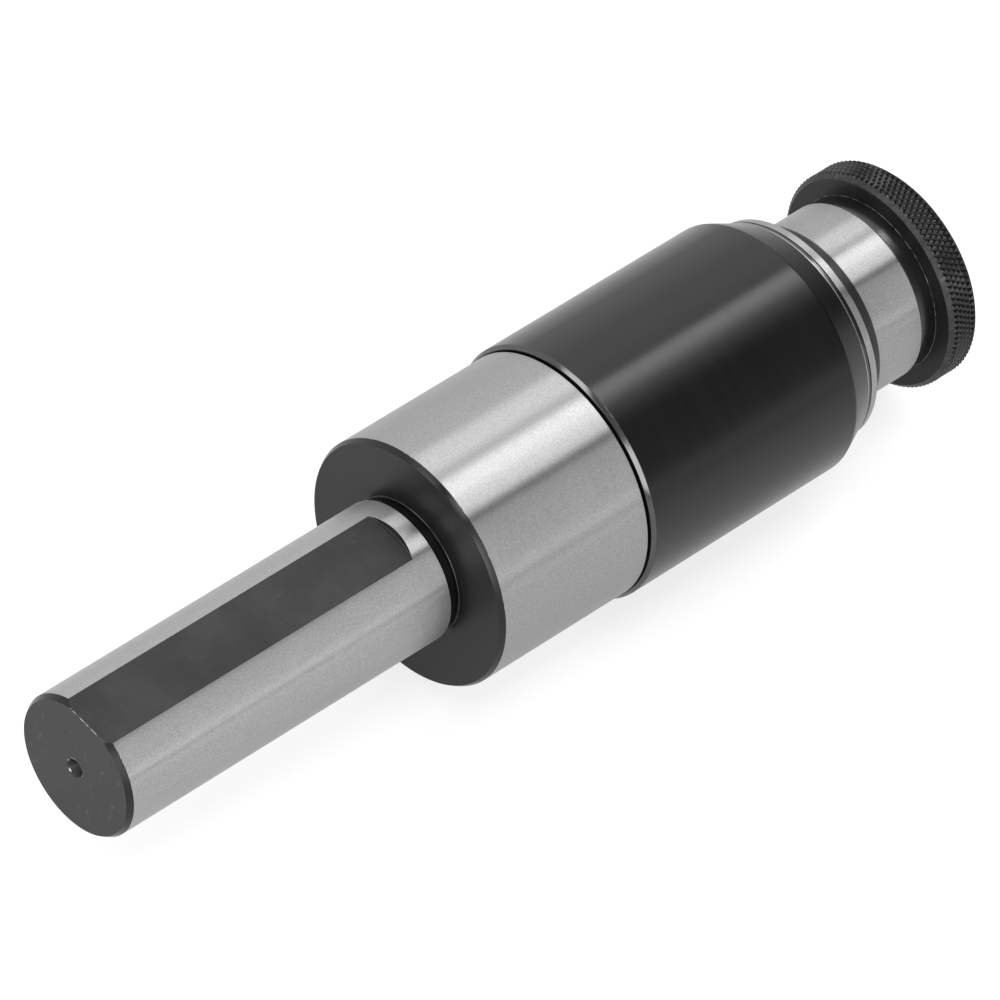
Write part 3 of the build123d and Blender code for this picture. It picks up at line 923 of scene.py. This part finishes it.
@dataclass
class Housing(Assembly):
    """The sleeve, a black ring that paints shade in the gap behind it, and the cap that closes it.
    """

    sleeve_rear: float = 32.55
    sleeve_front: float = 84.1
    sleeve_radius: float = 22.7
    sleeve_bore: float = 20.02
    rear_chamfer: float = 0.6
    cone_rear: float = 78.1
    lip_rear: float = 83.45
    cone_end_radius: float = 20.3
    worn_land: float = 0.2
    lip_radius: float = 20.1
    front_bore: float = 18.8
    step: float = 76.0
    collar_front: float = 32.0
    # The black ring at the bottom of the gap behind the sleeve, which paints shade into that gap.
    shade_seal_width: float = 1.1
    shade_seal_edge: float = 0.08
    shade_seal_steps: int = 160
    cap_rear: float = 76.5
    cap_land_rear: float = 84.3
    cap_land_front: float = 85.72
    cap_front: float = 89.38
    cap_spigot: float = 18.78
    cap_radius: float = 20.05
    cap_foot: float = 19.55
    cap_land_end: float = 19.87
    cap_mouth: float = 16.91
    cap_bore: float = 16.1
    cap_bush_bore: float = 17.37
    cap_bush_end: float = 84.4
    wiper_rear: float = 86.58
    wiper_front: float = 88.08
    wiper_bed: float = 17.35

    def sleeve_outline(self) -> list[Corner]:
        """The black sleeve. Its cone has the slot RUBBED, for a black finish of its own.

        Returns:
            The corners.
        """
        return [
            Corner(self.sleeve_rear, self.sleeve_bore),
            Corner(self.sleeve_rear, self.sleeve_radius - self.rear_chamfer, Skin.DARK, 0.06),
            Corner(self.sleeve_rear + self.rear_chamfer, self.sleeve_radius, edge=0.06),
            Corner(self.cone_rear, self.sleeve_radius, Skin.RUBBED, 0.2),
            Corner(self.lip_rear - self.worn_land, self.cone_end_radius, Skin.WORN),
            Corner(self.lip_rear, self.cone_end_radius, edge=0.04),
            Corner(self.lip_rear, self.lip_radius, Skin.DARK),
            Corner(self.sleeve_front, self.lip_radius, edge=0.08),
            Corner(self.sleeve_front, self.front_bore),
            Corner(self.step, self.front_bore),
            Corner(self.step, self.sleeve_bore),
        ]

    def cap_outline(self) -> list[Corner]:
        """The cap, with its bright land and the groove of the wiper.

        Returns:
            The corners.
        """
        return [
            Corner(self.cap_rear, self.cap_bush_bore, Skin.DARK),
            Corner(self.cap_rear, self.cap_spigot, Skin.DARK),
            Corner(self.sleeve_front, self.cap_spigot, Skin.DARK),
            Corner(self.sleeve_front, self.cap_foot, Skin.DARK),
            Corner(self.cap_land_rear, self.cap_foot, Skin.DARK),
            Corner(self.cap_land_rear, self.cap_radius, edge=0.06),
            Corner(self.cap_land_front, self.cap_land_end, Skin.DARK, 0.08),
            Corner(self.cap_front, self.cap_mouth, Skin.DARK, 0.1),
            Corner(self.cap_front, self.cap_bore, Skin.DARK, 0.05),
            Corner(self.wiper_front, self.cap_bore, Skin.DARK),
            Corner(self.wiper_front, self.wiper_bed, Skin.DARK),
            Corner(self.wiper_rear, self.wiper_bed, Skin.DARK),
            Corner(self.wiper_rear, self.cap_bore, Skin.DARK),
            Corner(self.cap_bush_end, self.cap_bore, Skin.DARK),
            Corner(self.cap_bush_end, self.cap_bush_bore, Skin.DARK),
        ]

    def shade_seal_outline(self) -> list[Corner]:
        """A black ring at the bottom of the gap between collar and sleeve. Its dark rubber paints
        shade into the gap, on top of the real shade in the groove.

        Returns:
            The corners.
        """
        outer = self.sleeve_bore + self.shade_seal_width
        return [
            Corner(self.collar_front, self.sleeve_bore),
            Corner(self.collar_front, outer, edge=self.shade_seal_edge),
            Corner(self.sleeve_rear, outer, edge=self.shade_seal_edge),
            Corner(self.sleeve_rear, self.sleeve_bore),
        ]

    def build(self) -> None:
        """Build the sleeve, the black ring that paints the gap's shade, and the cap, and finish
        what runs inside them.
        """
        sleeve = as_piece(turn(self.sleeve_outline()), "sleeve")
        self.dress(sleeve, "black_steel", *SLEEVE)
        self.settle(sleeve, "housing", "housing_sleeve")
        # A black ring in the gap between collar and sleeve: real shade in the groove, plus painted
        # shade from its dark rubber.
        shade_seal = as_piece(turn(self.shade_seal_outline(), self.shade_seal_steps), "shade_seal")
        self.dress(shade_seal, "seal_rubber", RUBBER)
        self.settle(shade_seal, "housing", "sleeve_seal")
        cap = as_piece(turn(self.cap_outline()), "cap")
        self.dress(cap, "ground_steel", *CAP)
        self.settle(cap, "housing", "nose_cap")
        self.keep(HARD, "ball_race", "race_pins")
        self.keep(BRONZE, "front_bush", "ball_cage")
        self.keep(RUBBER, "wiper_seal")
        self.keep(BALL, "torque_balls")


@dataclass
class Spindle(Assembly):
    """The floating spindle with the adapter's socket, its plug and its snap rings."""

    rear: float = 30.0
    rod_hole: float = 4.8
    radius: float = 16.0
    chamfer: float = 0.5
    shoulder: float = 100.1
    nose_radius: float = 12.8
    nose_front: float = 110.004
    socket_radius: float = 9.5
    socket_chamfer: float = 0.5
    socket_floor: float = 84.004
    spring_bore: float = 9.3
    web_front: float = 38.0
    ball_place: float = 102.7
    ball_hole: float = 2.05
    relief_half: float = 2.3
    relief_radius: float = 9.8
    plug_front: float = 87.004
    plug_groove_front: float = 88.054
    plug_groove_radius: float = 10.1
    ring_groove_rear: float = 108.304
    ring_groove_front: float = 109.204
    ring_groove_radius: float = 12.0
    slot_width: float = 5.0
    slot_depth: float = 4.5
    slot_run: float = 10.0
    slot_span: float = 40.0
    spline_rear: float = 45.98
    spline_front: float = 68.02
    spline_radius: float = 2.55
    spline_circle: float = 16.7
    spline_steps: int = 48
    spline_rounds: int = 8
    ball_circle: float = 10.83
    ball_hole_length: float = 4.0
    ball_hole_sides: int = 48
    balls: int = 3

    def outline(self) -> list[Corner]:
        """The turned outline, with the grooves of the snap rings and the balls' relief.

        Returns:
            The corners.
        """
        return [
            Corner(self.rear, self.rod_hole, edge=0.1),
            Corner(self.rear, self.radius - self.chamfer, edge=0.05),
            Corner(self.rear + self.chamfer, self.radius, edge=0.05),
            Corner(self.shoulder, self.radius, Skin.DARK, 0.2, Skin.DARK),
            Corner(self.shoulder, self.nose_radius, Skin.DARK),
            Corner(self.ring_groove_rear, self.nose_radius, Skin.DARK),
            Corner(self.ring_groove_rear, self.ring_groove_radius, Skin.DARK),
            Corner(self.ring_groove_front, self.ring_groove_radius, Skin.DARK),
            Corner(self.ring_groove_front, self.nose_radius, Skin.DARK),
            Corner(self.nose_front, self.nose_radius, Skin.FACE, 0.15, Skin.WORN),
            Corner(self.nose_front, self.socket_radius + self.socket_chamfer, edge=0.05),
            Corner(self.nose_front - self.socket_chamfer, self.socket_radius, edge=0.05),
            Corner(self.ball_place + self.relief_half, self.socket_radius, Skin.DARK, 0.05),
            Corner(self.ball_place + self.relief_half, self.relief_radius, Skin.DARK),
            Corner(self.ball_place - self.relief_half, self.relief_radius, Skin.DARK),
            Corner(self.ball_place - self.relief_half, self.socket_radius, edge=0.05),
            Corner(self.plug_groove_front, self.socket_radius, Skin.DARK),
            Corner(self.plug_groove_front, self.plug_groove_radius, Skin.DARK),
            Corner(self.plug_front, self.plug_groove_radius, Skin.DARK),
            Corner(self.plug_front, self.socket_radius),
            Corner(self.socket_floor, self.socket_radius),
            Corner(self.socket_floor, self.spring_bore),
            Corner(self.web_front, self.spring_bore),
            Corner(self.web_front, self.rod_hole),
        ]

    def slot_cutter(self) -> BMesh:
        """A bar across the nose, for the slot that drives the adapter.

        Returns:
            The cutter.
        """
        bm = bmesh.new()
        middle = self.nose_front - self.slot_depth + self.slot_run / 2
        sides = Matrix.Diagonal((self.slot_run, self.slot_span, self.slot_width, 1))
        bmesh.ops.create_cube(bm, size=1, matrix=Matrix.Translation((middle, 0, 0)) @ sides)
        paint(bm.faces, Skin.DARK)
        return bm

    def ball_hole_cutter(self) -> BMesh:
        """A drill with a round end, which points to the axis.

        Returns:
            The cutter.
        """
        bm = bmesh.new()
        bmesh.ops.create_uvsphere(bm, u_segments=self.ball_hole_sides,
                                  v_segments=self.ball_hole_sides // 2, radius=self.ball_hole)
        for vert in [v for v in bm.verts if v.co.z > NOTHING]:
            reach = hypot(vert.co.x, vert.co.y)
            if reach > NOTHING:
                vert.co.x *= self.ball_hole / reach
                vert.co.y *= self.ball_hole / reach
            vert.co.z = self.ball_hole_length
        bmesh.ops.remove_doubles(bm, verts=bm.verts, dist=MERGED)
        paint(bm.faces, Skin.DARK)
        return bm

    def spline_cutter(self) -> BMesh:
        """A round-ended bar, as the ball mill cuts it.

        Returns:
            The cutter.
        """
        size = self.spline_radius
        turns = [pi / 2 * k / self.spline_rounds for k in range(self.spline_rounds + 1)]
        corners = [Corner(self.spline_rear - size * cos(a), size * sin(a)) for a in turns]
        corners += [Corner(self.spline_front + size * sin(a), size * cos(a)) for a in turns[:-1]]
        corners.append(Corner(self.spline_front + size, 0))
        return turn(corners, self.spline_steps)

    def cutters(self) -> list[Object]:
        """Cutters for the drive slot, the ball holes and the ball grooves of the spline.

        Returns:
            The cutters, with the finishes of the spindle.
        """
        tools = [as_piece(self.slot_cutter(), "slot_cutter")]
        for index in range(self.balls):
            angle = 360 * index / self.balls
            hole = place(self.ball_hole_cutter(), angle, self.ball_place, self.ball_circle)
            tools.append(as_piece(hole, f"ball_hole_cutter_{index + 1}"))
            groove = place(self.spline_cutter(), angle, 0, self.spline_circle)
            tools.append(as_piece(groove, f"spline_cutter_{index + 1}"))
        return [self.dress(tool, "ground_steel", *TURNED) for tool in tools]

    def build(self) -> None:
        """Turn and cut the spindle, and finish the pieces in its nose."""
        body = as_piece(turn(self.outline()), "floating_spindle")
        self.dress(body, "ground_steel", *TURNED)
        cut(body, self.cutters())
        self.settle(body, "spindle", "spindle")
        self.keep(HARD, "socket_plug")
        self.keep(SPRING, "plug_snap_ring", "nose_snap_ring")
        self.keep(BALL, *(f"locking_ball_{number + 1}" for number in range(self.balls)))


@dataclass
class GripRing(Assembly):
    """The quick-change ring with its knurled flange, its washer and its spring."""

    rear: float = 100.15
    hub_radius: float = 15.75
    flange_rear: float = 103.45
    radius: float = 19.65
    chamfer: float = 0.95
    front: float = 109.654
    chamber_radius: float = 17.2
    chamber_floor: float = 104.45
    sleeve_radius: float = 13.55
    land_front: float = 105.204
    bore: float = 12.85
    cone_front: float = 103.034
    cone_rear: float = 100.5502
    cone_radius: float = 13.6945
    diamonds: int = 112
    half_rows: int = 5
    groove_depth: float = 0.36
    crest: float = 0.3
    knurl_sharp: float = 24.0
    washer_rear: float = 107.804
    spring_wire: float = 0.8
    spring_turns: float = 2.5
    spring_gap: float = 0.05
    wire_gap: float = 0.3

    def outline(self) -> list[Corner]:
        """The outline, with the corners of the knurl half a diamond apart.

        Returns:
            The corners.
        """
        knurl = [Corner(self.knurl_row(k), self.radius, Skin.FLAT) for k in range(self.half_rows)]
        return [
            Corner(self.rear, self.cone_radius),
            Corner(self.rear, self.hub_radius, edge=0.12),
            Corner(self.flange_rear, self.hub_radius, Skin.FACE, 0.09, Skin.RUBBED),
            Corner(self.flange_rear, self.radius - self.chamfer, Skin.DARK, 0.06),
            *knurl,
            Corner(self.knurl_row(self.half_rows), self.radius, Skin.END),
            Corner(self.front, self.radius - self.chamfer, Skin.FACE, 0.08),
            Corner(self.front, self.chamber_radius, edge=0.15),
            Corner(self.chamber_floor, self.chamber_radius),
            Corner(self.chamber_floor, self.sleeve_radius),
            Corner(self.land_front, self.sleeve_radius, edge=0.05),
            Corner(self.land_front, self.bore, edge=0.05),
            Corner(self.cone_front, self.bore),
            Corner(self.cone_rear, self.cone_radius),
        ]

    def knurl_row(self, row: int) -> float:
        """Place along the axis of a row of the knurl's corners, from 0 at the rear chamfer."""
        rear = self.flange_rear + self.chamfer
        return rear + (self.front - self.chamfer - rear) * row / self.half_rows

    def knurl(self, bm: BMesh) -> None:
        """Press the crossed grooves into the flange, which leaves rows of diamonds.

        Args:
            bm: The turned ring, in millimetres.
        """
        first, last = self.knurl_row(0), self.knurl_row(self.half_rows)
        half = (last - first) / self.half_rows
        step = tau / (2 * self.diamonds)
        low: dict[BMVert, bool] = {}
        for vert in bm.verts:
            if abs(off_axis(vert) - self.radius) < ON_CREST:
                column = round(atan2(vert.co.y, vert.co.z) / step)
                low[vert] = (column + round((vert.co.x - first) / half)) % 2 == 0
        cells = [face for face in bm.faces if all(v in low for v in face.verts)]
        for face in cells:
            bottoms = [v for v in face.verts if low[v]]
            bmesh.utils.face_split(face, bottoms[0], bottoms[1])
        shrink = (self.radius - self.groove_depth) / self.radius
        bmesh.ops.scale(bm, vec=(1, shrink, shrink), verts=[v for v in low if low[v]])
        for wall, side in ((first, -1), (last, 1)):
            ends = [v for v in low if low[v] and abs(v.co.x - wall) < half / 4]
            bmesh.ops.translate(bm, vec=(side * self.groove_depth, 0, 0), verts=ends)
        tops = [v for v in low if not low[v] and first + half / 2 < v.co.x < last - half / 2]
        made = bmesh.ops.bevel(bm, geom=tops, offset=self.crest, offset_type="OFFSET", segments=3,
                               profile=0.5, affect="VERTICES", clamp_overlap=True, material=-1)
        paint(made["faces"], Skin.BRIGHT)

    def build(self) -> None:
        """Turn and knurl the ring, wind its spring, and finish its washer."""
        bm = turn(self.outline(), 2 * self.diamonds)
        self.knurl(bm)
        ring = as_piece(bm, "grip_ring", self.knurl_sharp)
        self.dress(ring, "black_steel", *RING)
        self.settle(ring, "grip_ring", "quick_change_ring")
        space = self.spring_wire / 2 + self.wire_gap
        coil = Coil(self.chamber_floor + self.spring_gap, self.washer_rear - self.spring_gap,
                    self.chamber_radius - space, self.sleeve_radius + space, self.spring_wire,
                    self.spring_turns)
        self.spring(coil, "ring_return_spring", "ring_spring", "grip_ring", "ring_carrier")
        self.keep(HARD, "ring_washer")


@dataclass
class Floating(Assembly):
    """The springs and the shoulder bolt that let the spindle float."""

    compression: Coil = Coil(rear=11.55, front=29.95, radius=12.8, end_radius=12.8, wire=2.2,
                             turns=4.5)
    tension: Coil = Coil(rear=38.05, front=66.804, radius=7.4, end_radius=7.4, wire=2.0,
                         turns=7.0)

    def build(self) -> None:
        """Wind the two springs and finish the bolt, tube and washers."""
        self.spring(self.compression, "push_spring", "compression_spring", "housing", "spindle")
        self.spring(self.tension, "pull_spring", "tension_spring", "spindle", "housing")
        self.keep(BOLT, "tension_rod")
        self.keep(HARD, "stop_tube", "rod_washer", "spring_seat")


@dataclass
class Studio:
    """Camera, floor and soft light. Bands are levels of light at degrees about the axis."""

    sensor: float = 36.0
    lens: float = 344.33
    clip: tuple[float, float] = (0.05, 50.0)
    camera_place: tuple[float, float, float] = (-0.7827, -0.5617, 1.1643)
    right: tuple[float, float, float] = (0.7241, -0.6664, 0.1780)
    up: tuple[float, float, float] = (0.4437, 0.6476, 0.6195)
    forward: tuple[float, float, float] = (0.5281, 0.3696, -0.7645)
    floor_height: float = -0.0228
    floor_radius: float = 4.0
    floor_sides: int = 96
    floor_colour: Colour = grey(0.35)
    floor_glow: float = 0.68
    mirrored_glow: float = 0.42
    far_glow: float = 0.24
    fade: tuple[float, float] = (0.15, 0.34)
    towards_camera: tuple[float, float, float] = (0.0, -0.4353, 0.9004)
    towards_back: tuple[float, float, float] = (0.0, 0.9004, 0.4353)
    rear_bands: Bands = (
        (-180, 0.9), (-72, 0.5), (-60, 0.5), (-56, 5.0), (-20, 5.0), (-6, 0.55), (46, 0.55),
        (53, 5.0), (76, 5.0), (81, 0.5), (120, 0.7), (180, 0.9))
    back_bands: Bands = (
        (-180, 0.9), (-64, 1.2), (-52, 1.6), (0, 1.6), (2, 0.15), (6.3, 0.15), (9.3, 4.8),
        (24, 4.2), (27, 3.4), (31.5, 0.4), (42, 0.4), (45, 1.0), (50, 1.6), (70, 1.6), (76, 1.0),
        (120, 1.1), (180, 0.9))
    wide_bands: Bands = (
        (-180, 0.9), (-64, 1.9), (-59, 2.8), (-57, 0.4), (-53, 0.4), (-50, 3.0), (-46, 3.0),
        (-24, 2.5), (-7, 3.1), (0, 3.3), (2, 0.3), (6.3, 0.3), (9.3, 6.0), (20, 5.4), (25, 4.2),
        (30, 1.5), (33, 0.8), (42, 0.8), (45, 2.0), (50, 2.6), (53, 5.5), (70, 5.5), (74.5, 1.8),
        (120, 1.5), (180, 0.9))
    near_bands: Bands = (
        (-180, 0.9), (-64, 0.85), (-52, 0.9), (-43, 0.37), (-16, 0.21), (4, 0.18), (8, 0.25),
        (12, 0.42), (16, 0.72), (24, 1.35), (28, 2.6), (32, 3.95), (36, 5.2), (43, 5.4),
        (45.5, 0.9), (48, 0.95), (52, 1.4), (60, 1.5), (72, 1.45), (78, 1.3), (96, 1.3),
        (116, 1.1), (180, 0.9))
    front_bands: Bands = (
        (-180, 0.9), (-120, 0.52), (-90, 0.3), (-70, 0.16), (-44, 0.08), (44, 0.1), (70, 0.3),
        (90, 0.6), (120, 0.8), (180, 0.9))
    borders: Bands = ((-0.6, 0.04), (0.08, 0.05), (0.27, 0.08), (0.8, 0.08))
    peak: float = 6.0
    level: float = 0.9

    def camera(self) -> None:
        """Set the camera where the photograph was taken from."""
        data = bpy.data.cameras.new("camera")
        data.sensor_width = self.sensor
        data.lens = self.lens
        data.clip_start, data.clip_end = self.clip
        camera = bpy.data.objects.new("camera", data)
        axes = Matrix((self.right, self.up, tuple(-c for c in self.forward))).transposed()
        turned = axes.to_quaternion().to_matrix().to_4x4()
        camera.matrix_world = Matrix.Translation(self.camera_place) @ turned
        bpy.context.scene.collection.objects.link(camera)
        bpy.context.scene.camera = camera

    def floor(self) -> None:
        """Lay a pale floor that shows white, and keeps a soft shadow."""
        bm = bmesh.new()
        bmesh.ops.create_circle(bm, cap_ends=True, segments=self.floor_sides,
                                radius=self.floor_radius / MM,
                                matrix=Matrix.Translation((0, 0, self.floor_height / MM)))
        floor = as_piece(bm, "floor")
        material = bpy.data.materials.new("pale_floor")
        material.use_nodes = True
        t = Tree(material.node_tree)
        surface = material.node_tree.nodes["Principled BSDF"].inputs
        surface["Base Color"].default_value = opaque(self.floor_colour)
        surface["Roughness"].default_value = 1.0
        surface["Specular IOR Level"].default_value = 0.0
        path = t.node("LightPath").outputs
        mirrored = t.math("MAXIMUM", path["Is Glossy Ray"], path["Is Transmission Ray"])
        seen = t.math("MULTIPLY", path["Is Camera Ray"], self.floor_glow)
        ahead = t.dot(t.node("TexCoord").outputs["Object"], (1, 0, 0))
        glow = t.span(ahead, *self.fade, self.mirrored_glow, self.far_glow)
        mirrored = t.math("MULTIPLY", mirrored, glow)
        t.feed(surface["Emission Strength"], t.math("MAXIMUM", seen, mirrored))
        surface["Emission Color"].default_value = opaque(grey(1.0))
        floor.data.materials.append(material)

    def world(self) -> None:
        """Light it softly from all round, in five zones along the tool, with strips overhead."""
        world = bpy.data.worlds.new("studio")
        bpy.context.scene.world = world
        world.use_nodes = True
        t = Tree(world.node_tree)
        background = world.node_tree.nodes["Background"].inputs
        where = t.node("TexCoord").outputs["Generated"]
        turned = t.math("ARCTAN2", t.dot(where, self.towards_back),
                        t.dot(where, self.towards_camera))
        share = t.math("ADD", t.math("DIVIDE", turned, tau), 0.5)
        along = t.dot(where, (1, 0, 0))
        light = self.ramp(t, share, self.rear_bands)
        zones = (self.back_bands, self.wide_bands, self.near_bands, self.front_bands)
        for bands, (border, soft) in zip(zones, self.borders):
            past = t.span(along, border - soft, border + soft)
            light = t.blend(past, light, self.ramp(t, share, bands))
        plain = t.node("LightPath").outputs["Is Camera Ray"]
        level = t.blend(plain, t.math("MULTIPLY", light, self.peak * self.level), 1.0)
        background["Color"].default_value = opaque(grey(1.0))
        t.feed(background["Strength"], level)

    def ramp(self, t: Tree, share: NodeSocket, bands: Bands) -> NodeSocket:
        """Levels of light by the angle about the tool's axis.

        Args:
            t: The world's tree.
            share: The angle as a share of the full turn.
            bands: Angles in degrees with their levels.

        Returns:
            The level, as a share of the peak.
        """
        made = t.node("ValToRGB", {0: share})
        stops = made.color_ramp.elements
        while len(stops) > 1:
            stops.remove(stops[-1])
        for index, (angle, level) in enumerate(bands):
            stop = stops[0] if index == 0 else stops.new(angle / 360 + 0.5)
            stop.position = angle / 360 + 0.5
            stop.color = opaque(grey(level / self.peak))
        return made.outputs[0]

    def build(self) -> None:
        """Set up the camera, the floor, the light and the view transform."""
        bpy.context.scene.view_settings.view_transform = "Standard"
        self.camera()
        self.floor()
        self.world()


def main() -> None:
    """Build the tapping head in its studio."""
    logging.basicConfig(level=logging.INFO, format="%(message)s")
    workshop = Workshop()
    Studio().build()
    for assembly in (Shank, Housing, Floating, Spindle, GripRing):
        assembly(workshop).build()
        log.info("built %s", assembly.__name__)


if __name__ == "__main__":
    main()
